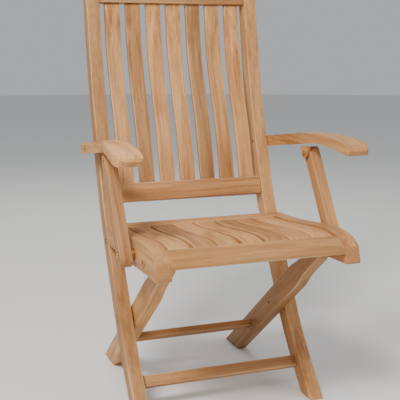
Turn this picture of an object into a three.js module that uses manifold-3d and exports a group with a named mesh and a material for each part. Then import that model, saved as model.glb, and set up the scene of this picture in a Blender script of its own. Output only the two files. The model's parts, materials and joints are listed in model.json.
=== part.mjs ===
// Folding garden armchair in slatted hardwood.
// Two long curved stiles run from the front feet to the top of the back. Two straight rear legs cross them
// on the inside. The seat stands in front of the stiles and lifts about two pins, and the arms and their
// posts rise with it. Millimetres, +Z up, +X across the chair; the chair faces -Y. Left is the -X side.
// Side views below are lists of [y, z], with y counted backwards from the seat's front edge.
import * as THREE from "three";
import { mergeVertices } from "three/addons/utils/BufferGeometryUtils.js";
import Module from "manifold-3d";

const wasm = await Module();
wasm.setup();

// Overall sizes
const FRAME_WIDTH = 470; // over the outer faces of the stiles, and of the seat's side rails
const BACK_HEIGHT = 1030; // floor to the top of the stiles

// Timber
const STILE_THICK = 34; // across the chair
const SEAT_RAIL_THICK = 34;
const REAR_LEG_THICK = 28.5;
const REAR_LEG_WIDE = 56; // in side view
const REAR_LEG_TIP = 40; // the same, at the slimmer upper end
const POST_THICK = 27.5;
const POST_WIDE = 32;
const ARM_REAR_WIDE = 26; // plan width at the stile
const ARM_FRONT_WIDE = 60; // plan width near the front
const BRACKET_THICK = 7.4;
const STRETCHER_THICK = 19;
const STRETCHER_TALL = 28;

// Gaps
const FIT = 0.3; // between pieces that touch, and round a bolt in its hole
const SWING = 1.5; // between boards that swing past each other

// The back
const BACK_SLATS = 7;
const BACK_SLAT_WIDE = 39.5;
const BACK_SLAT_THICK = 13;
const TOP_RAIL_TALL = 65;
const TOP_RAIL_THICK = 26;
const TOP_RAIL_DROP = 37; // from the top of the stiles to the middle of the top rail
const BOTTOM_RAIL_Z = 481;
const BOTTOM_RAIL_TALL = 47;
const BOTTOM_RAIL_THICK = 24;

// The seat
const SEAT_SLATS = 7;
const SEAT_SLAT_GAP = 10;
const SEAT_SLAT_THICK = 16;
const SEAT_SLAT_SINK = 1.5; // slats below the side rails' top edge
const FRONT_RAIL_Z = 401; // lower edge
const FRONT_RAIL_BACK = 49;
const REAR_RAIL_FRONT = 371;
const REAR_RAIL_THICK = 18;

// Brass
const BOLT_R = 4;
const BOLT_HEAD_R = 8;
const BOLT_HEAD_THICK = 3;
const PLATE_THICK = 3;
const WASHER_R = 13;

// Pivots, as side-view points. Seat pivot, arm pivot and the post's two ends stand in a parallelogram.
const ARM_LEVEL = 620; // the stile's own shape is fixed up to here, and stretches with BACK_HEIGHT above
const SEAT_PIVOT = [404, 408];
const ARM_PIVOT = [522, 597];
const POST_FOOT = [168, 402];
const POST_HEAD = [
  POST_FOOT[0] + ARM_PIVOT[0] - SEAT_PIVOT[0], POST_FOOT[1] + ARM_PIVOT[1] - SEAT_PIVOT[1]];
const CROSSING = [333, 200];
const SLIDE_PIN = [94, 388]; // at the upper end of a rear leg
const SLOT_END = [318, 381]; // where the pin stands in the rail's slot with the chair folded
const PLATE_BOLT = [427, 372];
const PEG = [94, 398];

const OUTER = FRAME_WIDTH / 2;
const INNER = OUTER - STILE_THICK;
const PLATE_INNER = INNER - FIT - PLATE_THICK;
const LEG_OUTER = PLATE_INNER - SWING / 2;
const LEG_INNER = LEG_OUTER - REAR_LEG_THICK;
const ARM_INNER = OUTER + SWING;
const BRACKET_OUTER = ARM_INNER + FIT + BRACKET_THICK;
const POST_INNER = BRACKET_OUTER + FIT;
const POST_OUTER = POST_INNER + POST_THICK;
const FAR = FRAME_WIDTH; // beyond every piece

const upper = (part) => ARM_LEVEL + (BACK_HEIGHT - ARM_LEVEL) * part;
const stileY = through([
  [0, 178], [130, 287], [235, 353], [372, 432], [470, 479], [ARM_LEVEL, 531],
  [upper(0.39), 576], [upper(0.837), 609], [upper(1), 621]]);
const stileHalf = through([[0, 28], [235, 25.5], [470, 24], [ARM_LEVEL, 23], [upper(1), 20]]);
const seatTop = through([
  [7, 399], [11, 416], [23, 425], [44, 435], [95, 441], [157, 437], [238, 429], [297, 423],
  [354, 420], [419, 419]]);
const seatUnder = through([[2, 380], [106, 377], [174, 374], [401, 370]]);
const armTop = through([
  [70, 624], [91, 632], [142, 640], [230, 644], [309, 639], [394, 628], [496, 615], [574, 605]]);
const armUnder = through([
  [70, 611], [79, 608], [140, 617], [221, 621], [308, 612], [393, 600], [492, 588], [574, 577]]);
const slatSwell = through([
  [480, 7], [560, 14], [640, 17], [720, 10], [800, 1], [upper(0.585), -3], [upper(0.73), -1], [upper(1), 3]]);

const shade = (color) => new THREE.MeshStandardMaterial({ color, roughness: 0.62, metalness: 0 });
const TEAK = shade(0xb98a5c);
const PALE_TEAK = shade(0xcba274);
const BRASS = new THREE.MeshStandardMaterial({ color: 0xb8924a, roughness: 0.35, metalness: 1 });

const SIDES = [["l", -1], ["r", 1]];
const chair = new THREE.Group();

function place(name, made, material) {
  const geometry = made.isBufferGeometry ? made : geometryOf(made);
  const mesh = new THREE.Mesh(geometry, material);
  mesh.name = name;
  chair.add(mesh);
}

// A smooth curve through points of [at, value], as a function of `at`.
function through(points) {
  const slopes = points.map((p, i) => {
    const a = points[Math.max(0, i - 1)];
    const b = points[Math.min(points.length - 1, i + 1)];
    return (b[1] - a[1]) / (b[0] - a[0]);
  });
  return (x) => {
    let i = 0;
    while (i < points.length - 2 && x > points[i + 1][0]) i++;
    const h = points[i + 1][0] - points[i][0];
    const t = (x - points[i][0]) / h;
    return points[i][1] * (1 + 2 * t) * (1 - t) ** 2 + slopes[i] * h * t * (1 - t) ** 2
      + points[i + 1][1] * t * t * (3 - 2 * t) + slopes[i + 1] * h * t * t * (t - 1);
  };
}

// Points of [at, curve(at)] from a to b.
function along(curve, a, b, steps) {
  const points = [];
  for (let i = 0; i <= steps; i++) {
    const x = a + ((b - a) * i) / steps;
    points.push([x, curve(x)]);
  }
  return points;
}

// A manifold solid of a closed geometry, and back again.
function solid(geometry) {
  const bare = geometry.clone();
  bare.deleteAttribute("normal");
  bare.deleteAttribute("uv");
  const merged = mergeVertices(bare, 1e-4);
  return new wasm.Manifold(new wasm.Mesh({
    numProp: 3,
    vertProperties: merged.attributes.position.array,
    triVerts: new Uint32Array(merged.index.array),
  }));
}

function geometryOf(made) {
  const mesh = made.getMesh();
  return new THREE.BufferGeometry()
    .setAttribute("position", new THREE.BufferAttribute(mesh.vertProperties, 3))
    .setIndex(new THREE.BufferAttribute(mesh.triVerts, 1));
}

// A board cut to a side-view outline, standing between x0 and x1 across the chair.
function board(outline, x0, x1) {
  const shape = new THREE.Shape(outline.map(([y, z]) => new THREE.Vector2(y, z)));
  const geometry = new THREE.ExtrudeGeometry(shape, { depth: Math.abs(x1 - x0), bevelEnabled: false });
  geometry.applyMatrix4(new THREE.Matrix4().makeBasis(
    new THREE.Vector3(0, 1, 0), new THREE.Vector3(0, 0, 1), new THREE.Vector3(1, 0, 0)));
  return solid(geometry.translate(Math.min(x0, x1), 0, 0));
}

function block(x0, x1, y0, y1, z0, z1) {
  return solid(new THREE.BoxGeometry(Math.abs(x1 - x0), y1 - y0, z1 - z0)
    .translate((x0 + x1) / 2, (y0 + y1) / 2, (z0 + z1) / 2));
}

// A round bar along X at a side-view point.
function bar(radius, x0, x1, [y, z], sides = 20) {
  return solid(new THREE.CylinderGeometry(radius, radius, Math.abs(x1 - x0), sides)
    .rotateZ(Math.PI / 2).translate((x0 + x1) / 2, y, z));
}

// Takes a bolt's hole out of a piece, right across the chair.
const drill = (made, point) => made.subtract(bar(BOLT_R + FIT, -FAR, FAR, point));

// A bolt along X with a domed head on the face at x = face, and its shank reaching to x = end.
function bolt(face, end, [y, z]) {
  const out = Math.sign(face - end);
  const profile = [new THREE.Vector2(0, 0), new THREE.Vector2(BOLT_HEAD_R, 0)];
  for (let i = 1; i <= 5; i++) {
    const a = (Math.PI / 2) * (i / 5);
    profile.push(new THREE.Vector2(
      i === 5 ? 0 : BOLT_HEAD_R * Math.cos(a), 0.8 + (BOLT_HEAD_THICK - 0.8) * Math.sin(a)));
  }
  const head = solid(new THREE.LatheGeometry(profile, 20)
    .rotateZ((-Math.PI / 2) * out).translate(face + out * FIT, y, z));
  return head.add(bar(BOLT_R, end, face + out * (FIT + 0.5), [y, z], 16));
}

// The outline round a chain of discs of [y, z, radius].
function hull(discs) {
  const points = [];
  for (const [y, z, r] of discs) {
    for (let i = 0; i < 20; i++) {
      const a = (2 * Math.PI * i) / 20;
      points.push([y + r * Math.cos(a), z + r * Math.sin(a)]);
    }
  }
  points.sort((a, b) => a[0] - b[0] || a[1] - b[1]);
  const turn = (o, a, b) => (a[0] - o[0]) * (b[1] - o[1]) - (a[1] - o[1]) * (b[0] - o[0]);
  const half = (list) => {
    const kept = [];
    for (const p of list) {
      while (kept.length > 1 && turn(kept[kept.length - 2], kept[kept.length - 1], p) <= 1e-6) kept.pop();
      kept.push(p);
    }
    return kept.slice(0, -1);
  };
  return [...half(points), ...half(points.reverse())];
}

// A straight rail square to the stiles' line at height z, its middle `forward` of theirs.
function crossRail(z, tall, thick, halfWidth, forward) {
  const rise = new THREE.Vector2(stileY(z + 5) - stileY(z - 5), 10).normalize();
  const corner = (a, c) => [stileY(z) + rise.x * a - rise.y * (c + forward), z + rise.y * a + rise.x * (c + forward)];
  return board([
    corner(-tall / 2, thick / 2), corner(-tall / 2, -thick / 2),
    corner(tall / 2, -thick / 2), corner(tall / 2, thick / 2)], -halfWidth, halfWidth);
}

function stiles() {
  const heights = along((z) => z, 0, BACK_HEIGHT - 10, 40).map(([z]) => z);
  const tip = [];
  for (let i = 1; i < 8; i++) {
    const a = (Math.PI * i) / 8;
    const h = stileHalf(BACK_HEIGHT - 10);
    tip.push([stileY(BACK_HEIGHT - 10) + 3 * Math.sin(a) + h * Math.cos(a), BACK_HEIGHT - 10 + 10 * Math.sin(a)]);
  }
  const outline = [
    ...heights.map((z) => [stileY(z) + stileHalf(z), z]), ...tip,
    ...heights.reverse().map((z) => [stileY(z) - stileHalf(z), z])];
  for (const [side, sign] of SIDES) {
    let made = board(outline, sign * INNER, sign * OUTER);
    for (const point of [CROSSING, ARM_PIVOT, PLATE_BOLT]) made = drill(made, point);
    place("stile_" + side, made, TEAK);
  }
}

function back() {
  const inside = INNER - FIT;
  const topZ = BACK_HEIGHT - TOP_RAIL_DROP;
  const rails = (spare) => [
    crossRail(topZ, TOP_RAIL_TALL + spare, TOP_RAIL_THICK + 40 * spare, inside, 2),
    crossRail(BOTTOM_RAIL_Z, BOTTOM_RAIL_TALL + spare, BOTTOM_RAIL_THICK + 40 * spare, inside, 8)];
  const [top, bottom] = rails(0);
  place("back_top_rail", top, PALE_TEAK);
  place("back_bottom_rail", bottom, PALE_TEAK);

  const [aboveSlats, belowSlats] = rails(2 * FIT);
  const middle = along((z) => stileY(z) - slatSwell(z), BOTTOM_RAIL_Z + 6, topZ - 6, 30);
  const face = (offset) => middle.map(([z, y]) => [y + offset, z]);
  const outline = [...face(BACK_SLAT_THICK / 2), ...face(-BACK_SLAT_THICK / 2).reverse()];
  const gap = (2 * INNER - BACK_SLATS * BACK_SLAT_WIDE) / (BACK_SLATS + 1);
  for (let i = 0; i < BACK_SLATS; i++) {
    const x = -INNER + gap + i * (BACK_SLAT_WIDE + gap);
    const slat = board(outline, x, x + BACK_SLAT_WIDE).subtract(aboveSlats).subtract(belowSlats);
    place("back_slat_" + (i + 1), slat, PALE_TEAK);
  }
  place("front_stretcher", crossRail(72, STRETCHER_TALL, STRETCHER_THICK, inside, -6.5), TEAK);
}

function seat() {
  const [py, pz] = SEAT_PIVOT;
  const end = [];
  for (let i = 0; i <= 8; i++) {
    const a = THREE.MathUtils.degToRad(-25 + (65 * i) / 8);
    end.push([py + 17 * Math.cos(a), pz + 17 * Math.sin(a)]);
  }
  const nose = [[2, 387], [7, 399], [9, 409], [11, 416], [15, 420]];
  const outline = [
    ...along(seatUnder, 2, 401, 12), ...end, ...along(seatTop, 23, 412, 26).reverse(), ...nose.slice().reverse()];
  const [sy, sz] = SLIDE_PIN;
  const slot = hull([[sy, sz, BOLT_R + 2], [SLOT_END[0], SLOT_END[1], BOLT_R + 2]]);
  const rail = INNER + STILE_THICK - SEAT_RAIL_THICK;
  for (const [side, sign] of SIDES) {
    let made = board(outline, sign * rail, sign * OUTER);
    made = drill(made, POST_FOOT);
    made = made.subtract(board(slot, sign * (rail - 1), sign * (rail + 9)));
    made = made.subtract(bar(BOLT_R + FIT, sign * (rail - 1), sign * (OUTER - 8), SEAT_PIVOT));
    made = made.subtract(bar(BOLT_R + FIT, sign * (OUTER - 12), sign * (OUTER + 1), PEG));
    place("seat_rail_" + side, made, TEAK);
    place("seat_pivot_" + side, bar(BOLT_R, sign * PLATE_INNER, sign * (OUTER - 8.6), SEAT_PIVOT, 16), BRASS);
    place("rail_peg_" + side, bolt(sign * OUTER, sign * (OUTER - 11), PEG), BRASS);
  }

  const inside = rail - FIT;
  place("seat_front_rail", board([
    [8, FRONT_RAIL_Z], [FRONT_RAIL_BACK, FRONT_RAIL_Z], ...along(seatTop, 23, FRONT_RAIL_BACK, 8).reverse(),
    ...nose.slice(2).reverse()], -inside, inside), PALE_TEAK);
  const low = seatTop(410) - REAR_RAIL_THICK;
  // The rear rail's ends are notched where the plates of the seat's pins stand.
  let rear = board([[REAR_RAIL_FRONT, low], [414, low], ...along(seatTop, REAR_RAIL_FRONT, 417, 4).reverse()],
    -inside, inside);
  for (const [, sign] of SIDES) {
    rear = rear.subtract(block(sign * (PLATE_INNER - SWING), sign * FAR, py - 10.4, 500, 300, 500));
  }
  place("seat_rear_rail", rear, PALE_TEAK);

  const top = along((y) => seatTop(y) - SEAT_SLAT_SINK, FRONT_RAIL_BACK + FIT, REAR_RAIL_FRONT - FIT, 20);
  const slat = [...top.map(([y, z]) => [y, z - SEAT_SLAT_THICK]), ...top.slice().reverse()];
  const wide = (2 * rail - (SEAT_SLATS + 1) * SEAT_SLAT_GAP) / SEAT_SLATS;
  for (let i = 0; i < SEAT_SLATS; i++) {
    const x = -rail + SEAT_SLAT_GAP + i * (wide + SEAT_SLAT_GAP);
    place("seat_slat_" + (i + 1), board(slat, x, x + wide), PALE_TEAK);
  }
}

// Brass plates on the stiles' inner faces, which carry the seat's pins in front of the stiles.
function plates() {
  const outline = hull([[...SEAT_PIVOT, 9.5], [...PLATE_BOLT, 11], [441, 398, 9]]);
  for (const [side, sign] of SIDES) {
    const made = board(outline, sign * PLATE_INNER, sign * (INNER - FIT));
    place("seat_plate_" + side, drill(drill(made, SEAT_PIVOT), PLATE_BOLT), BRASS);
    place("plate_bolt_" + side, bolt(sign * OUTER, sign * PLATE_INNER, PLATE_BOLT), BRASS);
  }
}

function rearLegs() {
  const reach = Math.hypot(SLIDE_PIN[0] - CROSSING[0], SLIDE_PIN[1] - CROSSING[1]);
  const up = [(SLIDE_PIN[0] - CROSSING[0]) / reach, (SLIDE_PIN[1] - CROSSING[1]) / reach];
  const at = (s, c) => [CROSSING[0] + up[0] * s - up[1] * c, CROSSING[1] + up[1] * s + up[0] * c];
  const half = (s) => REAR_LEG_WIDE / 2
    - ((REAR_LEG_WIDE - REAR_LEG_TIP) / 2) * THREE.MathUtils.smoothstep(s, 165, 235);
  const steps = along(half, 120, reach, 14);
  const tip = [];
  for (let i = 1; i < 10; i++) {
    const a = (Math.PI * i) / 10;
    tip.push(at(reach + (REAR_LEG_TIP / 2) * Math.sin(a), (REAR_LEG_TIP / 2) * Math.cos(a)));
  }
  const floor = -CROSSING[1] / up[1] - 60;
  const outline = [
    at(floor, half(0)), ...steps.map(([s, h]) => at(s, h)), ...tip,
    ...steps.reverse().map(([s, h]) => at(s, -h)), at(floor, -half(0))];
  for (const [side, sign] of SIDES) {
    let made = board(outline.slice().reverse(), sign * LEG_INNER, sign * LEG_OUTER);
    made = made.subtract(block(-FAR, FAR, -100, 900, -300, 0));
    place("rear_leg_" + side, drill(drill(made, CROSSING), SLIDE_PIN), TEAK);
    place("slide_pin_" + side, bar(BOLT_R, sign * (LEG_INNER + 5), sign * (INNER - FIT), SLIDE_PIN, 16), BRASS);
    place("leg_bolt_" + side, bolt(sign * OUTER, sign * (LEG_INNER + 5), CROSSING), BRASS);
    const washer = bar(WASHER_R, sign * (LEG_OUTER + FIT), sign * (INNER - FIT), CROSSING, 24);
    place("leg_washer_" + side, drill(washer, CROSSING), BRASS);
  }
  const inside = LEG_INNER - FIT;
  const a = STRETCHER_TALL / 2 - 1;
  const c = STRETCHER_THICK / 2;
  const s = (98 - CROSSING[1]) / up[1] + 10;
  place("rear_stretcher", board(
    [at(s - a, -c), at(s + a, -c), at(s + a, c), at(s - a, c)], -inside, inside), TEAK);
}

function arms() {
  const y0 = 71;
  const y1 = 574;
  const nose = [[y0, 615], [y0 - 1.5, 619]];
  const outline = [...along(armUnder, y0 + 6, y1, 22), ...along(armTop, y0 + 3, y1, 24).reverse(), ...nose.reverse()];
  const rear = ARM_INNER + ARM_REAR_WIDE;
  const front = ARM_INNER + ARM_FRONT_WIDE;
  const bracket = hull([
    [...POST_HEAD, 13], [POST_HEAD[0] - 17, POST_HEAD[1] + 16, 3], [POST_HEAD[0] + 17, POST_HEAD[1] + 13, 3]]);
  for (const [side, sign] of SIDES) {
    // In plan the inner edge is straight, and the outer edge swells towards a rounded front.
    const plan = new THREE.Shape();
    plan.moveTo(ARM_INNER, y1 + 1);
    plan.lineTo(ARM_INNER, y0 + 12);
    plan.quadraticCurveTo(ARM_INNER, y0 - 2, ARM_INNER + 14, y0 - 2);
    plan.lineTo(front - 24, y0 - 2);
    plan.quadraticCurveTo(front, y0 - 2, front, y0 + 28);
    plan.bezierCurveTo(front, y0 + 120, rear + 12, y0 + 190, rear + 4, y0 + 300);
    plan.quadraticCurveTo(rear, y0 + 360, rear, y0 + 430);
    plan.lineTo(rear, y1 + 1);
    let column = solid(new THREE.ExtrudeGeometry(plan, { depth: 200, bevelEnabled: false, curveSegments: 12 }))
      .translate([0, 0, 520]);
    if (sign < 0) column = column.mirror([1, 0, 0]);
    const made = board(outline, sign * (ARM_INNER - 1), sign * (front + 1)).intersect(column);
    place("arm_" + side, drill(made, ARM_PIVOT), TEAK);
    place("arm_bolt_" + side, bolt(sign * rear, sign * (INNER + 5), ARM_PIVOT), BRASS);

    const tongue = board(bracket, sign * (ARM_INNER + FIT), sign * BRACKET_OUTER)
      .subtract(board(along((y) => armUnder(y) - FIT, 200, 380, 12).concat([[380, 700], [200, 700]]), -FAR, FAR));
    place("arm_bracket_" + side, drill(tongue, POST_HEAD), TEAK);
  }
}

// The posts stand outside the arms' brackets, and outside a spacer on the seat's side rails.
function posts() {
  const length = Math.hypot(POST_HEAD[0] - POST_FOOT[0], POST_HEAD[1] - POST_FOOT[1]);
  const up = [(POST_HEAD[0] - POST_FOOT[0]) / length, (POST_HEAD[1] - POST_FOOT[1]) / length];
  const outline = hull([[...POST_HEAD, POST_WIDE / 2],
    [POST_FOOT[0] - up[0] * 12, POST_FOOT[1] - up[1] * 12, POST_WIDE / 2]]);
  for (const [side, sign] of SIDES) {
    const made = board(outline, sign * POST_INNER, sign * POST_OUTER);
    place("post_" + side, drill(drill(made, POST_FOOT), POST_HEAD), TEAK);
    const spacer = bar(WASHER_R, sign * (OUTER + FIT), sign * (POST_INNER - FIT), POST_FOOT, 24);
    place("post_spacer_" + side, drill(spacer, POST_FOOT), BRASS);
    place("post_bolt_" + side, bolt(sign * POST_OUTER, sign * (INNER + 14), POST_FOOT), BRASS);
    place("post_pin_" + side, bar(6.5, sign * (OUTER + 0.4), sign * (ARM_INNER), POST_HEAD, 20)
      .add(bar(BOLT_R, sign * (OUTER + 0.6), sign * (POST_OUTER - 4), POST_HEAD, 16)), BRASS);
  }
}

stiles();
back();
seat();
plates();
rearLegs();
arms();
posts();

// The origin is on the floor under the middle of the chair's bounding box.
const box = new THREE.Box3().setFromObject(chair);
chair.position.y = -(box.min.y + box.max.y) / 2;
const part = new THREE.Group();
part.add(chair);

export default part;
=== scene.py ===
"""Folding garden armchair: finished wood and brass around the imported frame, laid out as an add-on."""
import json
import math

import bmesh
import bpy
from mathutils import Euler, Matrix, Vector

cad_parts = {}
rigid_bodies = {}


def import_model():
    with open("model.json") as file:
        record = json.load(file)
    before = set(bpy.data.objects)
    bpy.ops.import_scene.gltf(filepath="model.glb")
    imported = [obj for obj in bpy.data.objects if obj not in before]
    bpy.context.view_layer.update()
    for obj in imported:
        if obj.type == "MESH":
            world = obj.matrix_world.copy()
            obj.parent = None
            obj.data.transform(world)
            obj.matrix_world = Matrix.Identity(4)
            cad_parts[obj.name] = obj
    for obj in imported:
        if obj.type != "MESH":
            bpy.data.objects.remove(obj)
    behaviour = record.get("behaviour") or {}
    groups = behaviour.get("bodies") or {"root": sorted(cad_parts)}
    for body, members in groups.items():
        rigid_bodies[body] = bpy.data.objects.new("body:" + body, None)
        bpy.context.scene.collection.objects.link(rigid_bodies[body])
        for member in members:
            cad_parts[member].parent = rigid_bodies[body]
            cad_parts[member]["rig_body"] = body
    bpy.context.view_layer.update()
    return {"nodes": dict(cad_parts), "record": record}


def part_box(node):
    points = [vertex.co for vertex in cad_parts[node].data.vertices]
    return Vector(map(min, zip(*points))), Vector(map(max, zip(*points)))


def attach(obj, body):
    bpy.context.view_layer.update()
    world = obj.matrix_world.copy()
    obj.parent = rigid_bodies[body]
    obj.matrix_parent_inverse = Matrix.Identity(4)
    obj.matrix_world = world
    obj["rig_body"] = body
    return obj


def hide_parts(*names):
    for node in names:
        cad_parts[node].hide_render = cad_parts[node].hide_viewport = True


bl_info = {
    "name": "Folding garden armchair",
    "version": (1, 0, 0),
    "blender": (4, 5, 0),
    "location": "View3D > Sidebar > Chair",
    "description": "Builds a slatted folding armchair in oiled teak and brass",
    "category": "Object",
}

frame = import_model()
NODES = frame["nodes"]
MERGE_DISTANCE = 2e-6  # joins the loose triangles of a CAD mesh
BEVEL_MERGE_DISTANCE = 1e-6
FLAT_ANGLE = math.radians(0.8)  # faces closer than this are one flat face
CORNER_ANGLE = math.radians(32)  # edges sharper than this are rounded
SHARP_ANGLE = math.radians(38)  # edges sharper than this keep a hard shade
BEVEL_SEGMENTS = 3
END_GRAIN_COSINE = 0.85  # a face that looks this nearly along the grain is end grain
FLOOR_RADIUS = 14.0
CAMERA_PLACE = (-0.7014, -1.8545, 0.843)
CAMERA_TURN = (math.radians(79.67), 0.0, math.radians(-20.03))
CAMERA_LENS = 74.2  # millimetres, on a sensor 36 mm wide
LIGHTS_AIM = (0.0, 0.0, 0.5)
LIGHT_COLOUR = (1.0, 0.96, 0.9)
LIGHTS = (  # name, place, size in metres, power in watts
    ("key", (-1.7, -1.6, 3.0), 1.0, 150),
    ("fill", (2.6, -1.8, 1.8), 2.2, 24),
    ("back", (0.4, 2.6, 2.6), 1.8, 30),
)
X_GRAIN = (0.0, 0.0, math.radians(90))  # turns the length of a board that lies across the chair onto Y


def side_grain(degrees):
    """The turn that lays the length of a board onto Y. The board leans this far up from +Y in side view."""
    return (math.radians(-degrees), 0.0, 0.0)


BOARDS = {
    "stile": side_grain(66), "back_slat": side_grain(72), "seat_length": side_grain(0), "cross": X_GRAIN,
    "rear_leg": side_grain(142), "post": side_grain(58), "bracket": side_grain(0),
}


class ChairSettings(bpy.types.PropertyGroup):
    light: bpy.props.FloatVectorProperty(
        name="Early wood", description="Colour of the pale bands of grain", subtype="COLOR", size=4,
        default=(0.64, 0.325, 0.115, 1), min=0, max=1)
    dark: bpy.props.FloatVectorProperty(
        name="Late wood", description="Colour of the dark bands of grain", subtype="COLOR", size=4,
        default=(0.28, 0.10, 0.024, 1), min=0, max=1)
    brass: bpy.props.FloatVectorProperty(
        name="Brass", description="Colour of the bolts and plates", subtype="COLOR", size=4,
        default=(0.56, 0.36, 0.12, 1), min=0, max=1)
    board_edge: bpy.props.FloatProperty(name="Board edge", description="Rounding of the heavy boards' edges",
                                        unit="LENGTH", default=0.0028, min=0.0005)
    slat_edge: bpy.props.FloatProperty(name="Slat edge", description="Rounding of the slats' edges",
                                       unit="LENGTH", default=0.0022, min=0.0005)
    brass_edge: bpy.props.FloatProperty(name="Brass edge", description="Rounding of the brass edges",
                                        unit="LENGTH", default=0.0004, min=0.0001)


def new_node(tree, kind, values=None, **settings):
    node = tree.nodes.new(kind)
    for key, value in settings.items():
        setattr(node, key, value)
    for key, value in (values or {}).items():
        node.inputs[key].default_value = value
    return node


def math_node(tree, operation, a, b=0.0, clamp=False):
    node = new_node(tree, "ShaderNodeMath", operation=operation, use_clamp=clamp)
    for socket, value in zip(node.inputs, (a, b)):
        if isinstance(value, bpy.types.NodeSocket):
            tree.links.new(value, socket)
        else:
            socket.default_value = value
    return node.outputs[0]


def mix_colour(tree, factor, a, b, blend="MIX"):
    node = new_node(tree, "ShaderNodeMix", data_type="RGBA", blend_type=blend)
    for index, value in ((0, factor), (6, a), (7, b)):
        if isinstance(value, bpy.types.NodeSocket):
            tree.links.new(value, node.inputs[index])
        else:
            node.inputs[index].default_value = value
    return node.outputs[2]


def stretched_noise(tree, vector, scale, detail, distortion=0.0):
    """Noise drawn out along Y: scale is cycles in a metre along each axis."""
    stretch = new_node(tree, "ShaderNodeVectorMath", {1: scale}, operation="MULTIPLY")
    tree.links.new(vector, stretch.inputs[0])
    noise = new_node(tree, "ShaderNodeTexNoise", {"Scale": 1.0, "Detail": detail, "Distortion": distortion})
    tree.links.new(stretch.outputs[0], noise.inputs["Vector"])
    return noise.outputs["Fac"]


def spread(tree, value, low, high):
    """0 below low and 1 above high, with a smooth step between them."""
    limits = {"From Min": low, "From Max": high}
    node = new_node(tree, "ShaderNodeMapRange", limits, interpolation_type="SMOOTHSTEP")
    tree.links.new(value, node.inputs["Value"])
    return node.outputs["Result"]


def grain_group():
    """Shared wood figure: bands, pores, end grain and rubbed edges, different on each board."""
    tree = bpy.data.node_groups.new("Wood figure", "ShaderNodeTree")
    for name, kind in (("Vector", "NodeSocketVector"), ("Board", "NodeSocketFloat"),
                       ("Worn", "NodeSocketFloat"), ("End", "NodeSocketFloat"),
                       ("Early wood", "NodeSocketColor"), ("Late wood", "NodeSocketColor")):
        tree.interface.new_socket(name, in_out="INPUT", socket_type=kind)
    for name, kind in (("Color", "NodeSocketColor"), ("Roughness", "NodeSocketFloat"),
                       ("Height", "NodeSocketFloat")):
        tree.interface.new_socket(name, in_out="OUTPUT", socket_type=kind)
    given = new_node(tree, "NodeGroupInput").outputs
    made = new_node(tree, "NodeGroupOutput").inputs
    chance = new_node(tree, "ShaderNodeTexWhiteNoise", noise_dimensions="1D")
    tree.links.new(given["Board"], chance.inputs["W"])
    shift = new_node(tree, "ShaderNodeVectorMath", operation="MULTIPLY_ADD")
    tree.links.new(chance.outputs["Color"], shift.inputs[0])
    shift.inputs[1].default_value = (7.0, 11.0, 5.0)
    tree.links.new(given["Vector"], shift.inputs[2])
    place = shift.outputs[0]

    bands = spread(tree, stretched_noise(tree, place, (42, 2.6, 42), 5, 0.9), 0.32, 0.68)
    streaks = spread(tree, stretched_noise(tree, place, (190, 5, 190), 3), 0.35, 0.7)
    pores = spread(tree, stretched_noise(tree, place, (900, 34, 900), 2), 0.60, 0.72)
    clouds = spread(tree, stretched_noise(tree, place, (7, 4, 7), 2), 0.3, 0.7)
    dots = spread(tree, stretched_noise(tree, place, (700, 700, 700), 2), 0.5, 0.65)
    figure = math_node(tree, "ADD", math_node(tree, "MULTIPLY", bands, 0.6),
                       math_node(tree, "MULTIPLY", streaks, 0.4))
    colour = mix_colour(tree, figure, given["Late wood"], given["Early wood"])
    colour = mix_colour(tree, math_node(tree, "MULTIPLY", clouds, 0.28), colour, (0.70, 0.42, 0.20, 1))
    tone = math_node(tree, "ADD", math_node(tree, "MULTIPLY", chance.outputs["Value"], 0.5), 0.70)
    shade = new_node(tree, "ShaderNodeCombineColor")
    for socket in shade.inputs:
        tree.links.new(tone, socket)
    colour = mix_colour(tree, 1.0, colour, shade.outputs[0], "MULTIPLY")
    colour = mix_colour(tree, math_node(tree, "MULTIPLY", pores, 0.55), colour, (0.17, 0.07, 0.022, 1))
    rubbed = math_node(tree, "MULTIPLY", given["Worn"], math_node(tree, "MULTIPLY", clouds, 0.5))
    colour = mix_colour(tree, rubbed, colour, (0.78, 0.52, 0.28, 1))
    end_tone = mix_colour(tree, dots, (0.42, 0.20, 0.075, 1), (0.20, 0.08, 0.028, 1))
    colour = mix_colour(tree, math_node(tree, "MULTIPLY", given["End"], 0.75), colour, end_tone)
    tree.links.new(colour, made["Color"])
    rough = math_node(tree, "ADD", math_node(tree, "MULTIPLY", pores, 0.16), 0.5)
    rough = math_node(tree, "ADD", rough, math_node(tree, "MULTIPLY", clouds, 0.12))
    tree.links.new(rough, made["Roughness"])
    height = math_node(tree, "SUBTRACT", math_node(tree, "MULTIPLY", figure, 0.5), pores)
    tree.links.new(height, made["Height"])
    return tree


def start_material(name):
    material = bpy.data.materials.new(name)
    material.use_nodes = True
    tree = material.node_tree
    return material, tree, tree.nodes["Principled BSDF"]


def add_bump(tree, shader, height, strength, distance):
    bump = new_node(tree, "ShaderNodeBump", {"Strength": strength, "Distance": distance})
    tree.links.new(height, bump.inputs["Height"])
    tree.links.new(bump.outputs[0], shader.inputs["Normal"])


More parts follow.
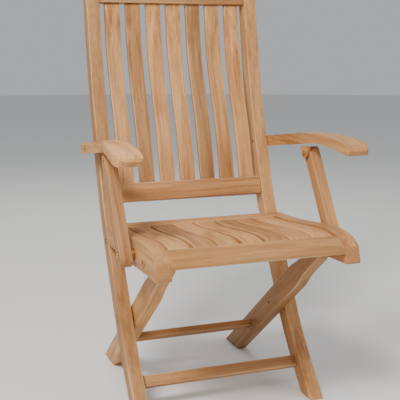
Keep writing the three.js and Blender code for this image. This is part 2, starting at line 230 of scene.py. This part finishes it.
def wood_material(board):
    """Oiled teak, its grain along the length of this kind of board."""
    name = "teak_" + board
    if name in bpy.data.materials:
        return bpy.data.materials[name]
    settings = bpy.context.scene.chair
    material, tree, shader = start_material(name)
    figure = bpy.data.node_groups.get("Wood figure") or grain_group()
    group = new_node(tree, "ShaderNodeGroup", node_tree=figure)
    group.inputs["Early wood"].default_value = settings.light
    group.inputs["Late wood"].default_value = settings.dark
    mapping = new_node(tree, "ShaderNodeMapping", {"Rotation": BOARDS[board]})
    tree.links.new(new_node(tree, "ShaderNodeTexCoord").outputs["Object"], mapping.inputs["Vector"])
    tree.links.new(mapping.outputs[0], group.inputs["Vector"])
    for attribute in ("Board", "Worn", "End"):
        reader = new_node(tree, "ShaderNodeAttribute", attribute_name=attribute.lower())
        tree.links.new(reader.outputs["Fac"], group.inputs[attribute])
    tree.links.new(group.outputs["Color"], shader.inputs["Base Color"])
    tree.links.new(group.outputs["Roughness"], shader.inputs["Roughness"])
    shader.inputs["Specular IOR Level"].default_value = 0.35
    add_bump(tree, shader, group.outputs["Height"], 0.55, 0.0008)
    return material


def brass_material():
    """Tarnished brass, in patches of dark tarnish."""
    if "weathered_brass" in bpy.data.materials:
        return bpy.data.materials["weathered_brass"]
    material, tree, shader = start_material("weathered_brass")
    place = new_node(tree, "ShaderNodeTexCoord").outputs["Object"]
    tarnish = spread(tree, stretched_noise(tree, place, (130, 130, 130), 5), 0.35, 0.7)
    scratches = stretched_noise(tree, place, (900, 60, 900), 3)
    colour = mix_colour(tree, tarnish, tuple(bpy.context.scene.chair.brass), (0.27, 0.16, 0.065, 1))
    tree.links.new(colour, shader.inputs["Base Color"])
    tree.links.new(math_node(tree, "ADD", math_node(tree, "MULTIPLY", tarnish, 0.25), 0.28),
                   shader.inputs["Roughness"])
    shader.inputs["Metallic"].default_value = 1.0
    add_bump(tree, shader, scratches, 0.2, 0.0002)
    return material


def eased_mesh(node, edge, grain, board):
    """A merged copy of a CAD node's mesh with rounded edges, and its worn and end-grain faces marked."""
    bm = bmesh.new()
    bm.from_mesh(NODES[node].data)
    bmesh.ops.remove_doubles(bm, verts=bm.verts, dist=MERGE_DISTANCE)
    bmesh.ops.dissolve_limit(bm, angle_limit=FLAT_ANGLE, verts=bm.verts, edges=bm.edges)
    corners = [e for e in bm.edges if len(e.link_faces) == 2 and e.calc_length() > edge
               and e.calc_face_angle(0.0) > CORNER_ANGLE]
    worn = bm.faces.layers.float.new("worn")
    end = bm.faces.layers.float.new("end")
    number = bm.verts.layers.float.new("board")
    rounded = bmesh.ops.bevel(bm, geom=corners, offset=edge, segments=BEVEL_SEGMENTS, profile=0.5,
                              affect="EDGES", clamp_overlap=True)["faces"]
    bmesh.ops.remove_doubles(bm, verts=bm.verts, dist=BEVEL_MERGE_DISTANCE)
    for face in bm.faces:
        face.smooth = True
        face[end] = 1.0 if grain is not None and abs(face.normal.dot(grain)) > END_GRAIN_COSINE else 0.0
    for face in rounded:
        if face.is_valid:
            face[worn] = 1.0
    for vertex in bm.verts:
        vertex[number] = board
    bmesh.ops.recalc_face_normals(bm, faces=bm.faces)
    mesh = bpy.data.meshes.new(node + "_finished")
    bm.to_mesh(mesh)
    bm.free()
    mesh.set_sharp_from_angle(angle=SHARP_ANGLE)
    return mesh


def length_of(board):
    """The direction of this kind of board's length, in the chair's axes."""
    return Euler(BOARDS[board]).to_matrix().inverted() @ Vector((0, 1, 0))


def add_piece(name, mesh, material, replaced):
    piece = bpy.data.objects.new(name, mesh)
    bpy.context.scene.collection.objects.link(piece)
    mesh.materials.clear()
    mesh.materials.append(material)
    body = NODES[replaced[0]]["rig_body"]
    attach(piece, body)
    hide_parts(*replaced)
    return piece


def add_boards(names, board):
    edge = bpy.context.scene.chair.board_edge
    for index, node in enumerate(names):
        mesh = eased_mesh(node, edge, length_of(board), len(node) * 3.7 + index * 1.3)
        add_piece(node + "_wood", mesh, wood_material(board), [node])


def row_tree():
    """Geometry nodes that repeat one slat in a row across the chair, and number each."""
    tree = bpy.data.node_groups.new("Row of slats", "GeometryNodeTree")
    ids = {}
    for name, kind in (("Slat", "NodeSocketGeometry"), ("Count", "NodeSocketInt"),
                       ("Pitch", "NodeSocketVector"), ("Material", "NodeSocketMaterial")):
        ids[name] = tree.interface.new_socket(name, in_out="INPUT", socket_type=kind).identifier
    tree.interface.new_socket("Slats", in_out="OUTPUT", socket_type="NodeSocketGeometry")
    given = new_node(tree, "NodeGroupInput").outputs
    line = new_node(tree, "GeometryNodeMeshLine", mode="OFFSET")
    spots = new_node(tree, "GeometryNodeInstanceOnPoints")
    number = new_node(tree, "GeometryNodeStoreNamedAttribute", {"Name": "board"}, data_type="FLOAT",
                      domain="INSTANCE")
    real = new_node(tree, "GeometryNodeRealizeInstances")
    coat = new_node(tree, "GeometryNodeSetMaterial")
    made = new_node(tree, "NodeGroupOutput")
    link = tree.links.new
    link(given["Count"], line.inputs["Count"])
    link(given["Pitch"], line.inputs["Offset"])
    link(line.outputs[0], spots.inputs["Points"])
    link(given["Slat"], spots.inputs["Instance"])
    link(spots.outputs[0], number.inputs["Geometry"])
    link(new_node(tree, "GeometryNodeInputIndex").outputs[0], number.inputs["Value"])
    link(number.outputs[0], real.inputs[0])
    link(real.outputs[0], coat.inputs["Geometry"])
    link(given["Material"], coat.inputs["Material"])
    link(coat.outputs[0], made.inputs[0])
    return tree, ids


def add_slats(name, prefix, board):
    names = sorted(n for n in NODES if n.startswith(prefix))
    material = wood_material(board)
    mesh = eased_mesh(names[0], bpy.context.scene.chair.slat_edge, length_of(board), 0.0)
    mesh.attributes.remove(mesh.attributes["board"])
    first = bpy.data.objects.new(name + "_row", mesh)
    bpy.context.scene.collection.objects.link(first)
    tree, ids = row_tree()
    row = first.modifiers.new("Row", "NODES")
    row.node_group = tree
    row[ids["Count"]] = len(names)
    row[ids["Pitch"]] = (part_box(names[1])[0].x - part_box(names[0])[0].x, 0.0, 0.0)
    row[ids["Material"]] = material
    ready = first.evaluated_get(bpy.context.evaluated_depsgraph_get())
    slats = bpy.data.meshes.new_from_object(ready)
    bpy.data.objects.remove(first)
    add_piece(name, slats, material, names)


def aim(place, target):
    """The turn that points a light at the target."""
    return (Vector(target) - Vector(place)).to_track_quat("-Z", "Y").to_euler()


class CHAIR_OT_frame(bpy.types.Operator):
    """Stiles, back rails and front stretcher"""
    bl_idname = "chair.frame"
    bl_label = "Frame boards"

    def execute(self, context):
        add_boards(["stile_l", "stile_r"], "stile")
        add_boards(["back_top_rail", "back_bottom_rail"], "cross")
        add_boards(["front_stretcher"], "cross")
        return {"FINISHED"}


class CHAIR_OT_slats(bpy.types.Operator):
    """Slats of the back and of the seat"""
    bl_idname = "chair.slats"
    bl_label = "Slats"

    def execute(self, context):
        add_slats("back_slats", "back_slat_", "back_slat")
        add_slats("seat_slats", "seat_slat_", "seat_length")
        return {"FINISHED"}


class CHAIR_OT_seat(bpy.types.Operator):
    """Seat rails"""
    bl_idname = "chair.seat"
    bl_label = "Seat rails"

    def execute(self, context):
        add_boards(["seat_rail_l", "seat_rail_r"], "seat_length")
        add_boards(["seat_front_rail", "seat_rear_rail"], "cross")
        return {"FINISHED"}


class CHAIR_OT_legs(bpy.types.Operator):
    """Rear legs and their stretcher"""
    bl_idname = "chair.legs"
    bl_label = "Rear legs"

    def execute(self, context):
        add_boards(["rear_leg_l", "rear_leg_r"], "rear_leg")
        add_boards(["rear_stretcher"], "cross")
        return {"FINISHED"}


class CHAIR_OT_arms(bpy.types.Operator):
    """Arms, their brackets and their posts"""
    bl_idname = "chair.arms"
    bl_label = "Arms and posts"

    def execute(self, context):
        add_boards(["arm_l", "arm_r"], "seat_length")
        add_boards(["arm_bracket_l", "arm_bracket_r"], "bracket")
        add_boards(["post_l", "post_r"], "post")
        return {"FINISHED"}


class CHAIR_OT_brass(bpy.types.Operator):
    """Bolts, pins, washers and plates"""
    bl_idname = "chair.brass"
    bl_label = "Brass"

    def execute(self, context):
        slots = {row["node"]: row["material_slot"] for row in frame["record"]["subparts"]}
        for node in sorted(n for n in NODES if slots[n] == "brass"):
            mesh = eased_mesh(node, context.scene.chair.brass_edge, None, 0.0)
            add_piece(node + "_brass", mesh, brass_material(), [node])
        return {"FINISHED"}


class CHAIR_OT_stage(bpy.types.Operator):
    """Pale floor, soft lights and the camera"""
    bl_idname = "chair.stage"
    bl_label = "Stage"

    def execute(self, context):
        scene = context.scene
        mesh = bpy.data.meshes.new("floor")
        bm = bmesh.new()
        bmesh.ops.create_circle(bm, cap_ends=True, radius=FLOOR_RADIUS, segments=64)
        bm.to_mesh(mesh)
        bm.free()
        floor = bpy.data.objects.new("floor", mesh)
        scene.collection.objects.link(floor)
        material, _, shader = start_material("pale_floor")
        shader.inputs["Base Color"].default_value = (0.74, 0.74, 0.73, 1)
        shader.inputs["Roughness"].default_value = 0.8
        mesh.materials.append(material)
        world = bpy.data.worlds.new("soft_sky")
        world.use_nodes = True
        world.node_tree.nodes["Background"].inputs[0].default_value = (0.93, 0.96, 1.0, 1)
        world.node_tree.nodes["Background"].inputs[1].default_value = 0.5
        scene.world = world
        for name, place, size, power in LIGHTS:
            lamp = bpy.data.lights.new(name, "AREA")
            lamp.size = size
            lamp.energy = power
            lamp.color = LIGHT_COLOUR
            light = bpy.data.objects.new(name, lamp)
            light.location = place
            light.rotation_euler = aim(place, LIGHTS_AIM)
            scene.collection.objects.link(light)
        lens = bpy.data.cameras.new("camera")
        lens.lens = CAMERA_LENS
        lens.sensor_width = 36.0
        camera = bpy.data.objects.new("camera", lens)
        camera.location = CAMERA_PLACE
        camera.rotation_euler = CAMERA_TURN
        scene.collection.objects.link(camera)
        scene.camera = camera
        return {"FINISHED"}


OPERATORS = (CHAIR_OT_frame, CHAIR_OT_slats, CHAIR_OT_seat, CHAIR_OT_legs, CHAIR_OT_arms, CHAIR_OT_brass,
             CHAIR_OT_stage)


class CHAIR_PT_panel(bpy.types.Panel):
    """Lists the chair's settings and the steps that build it"""
    bl_idname = "CHAIR_PT_panel"
    bl_label = "Folding armchair"
    bl_space_type = "VIEW_3D"
    bl_region_type = "UI"
    bl_category = "Chair"

    def draw(self, context):
        for name in ChairSettings.__annotations__:
            self.layout.prop(context.scene.chair, name)
        for operator in OPERATORS:
            self.layout.operator(operator.bl_idname)


CLASSES = (ChairSettings, *OPERATORS, CHAIR_PT_panel)


def register():
    for cls in CLASSES:
        bpy.utils.register_class(cls)
    bpy.types.Scene.chair = bpy.props.PointerProperty(type=ChairSettings)


def unregister():
    del bpy.types.Scene.chair
    for cls in reversed(CLASSES):
        bpy.utils.unregister_class(cls)


def main():
    register()
    bpy.ops.chair.frame()
    bpy.ops.chair.slats()
    bpy.ops.chair.seat()
    bpy.ops.chair.legs()
    bpy.ops.chair.arms()
    bpy.ops.chair.brass()
    bpy.ops.chair.stage()


if __name__ == "__main__":
    main()
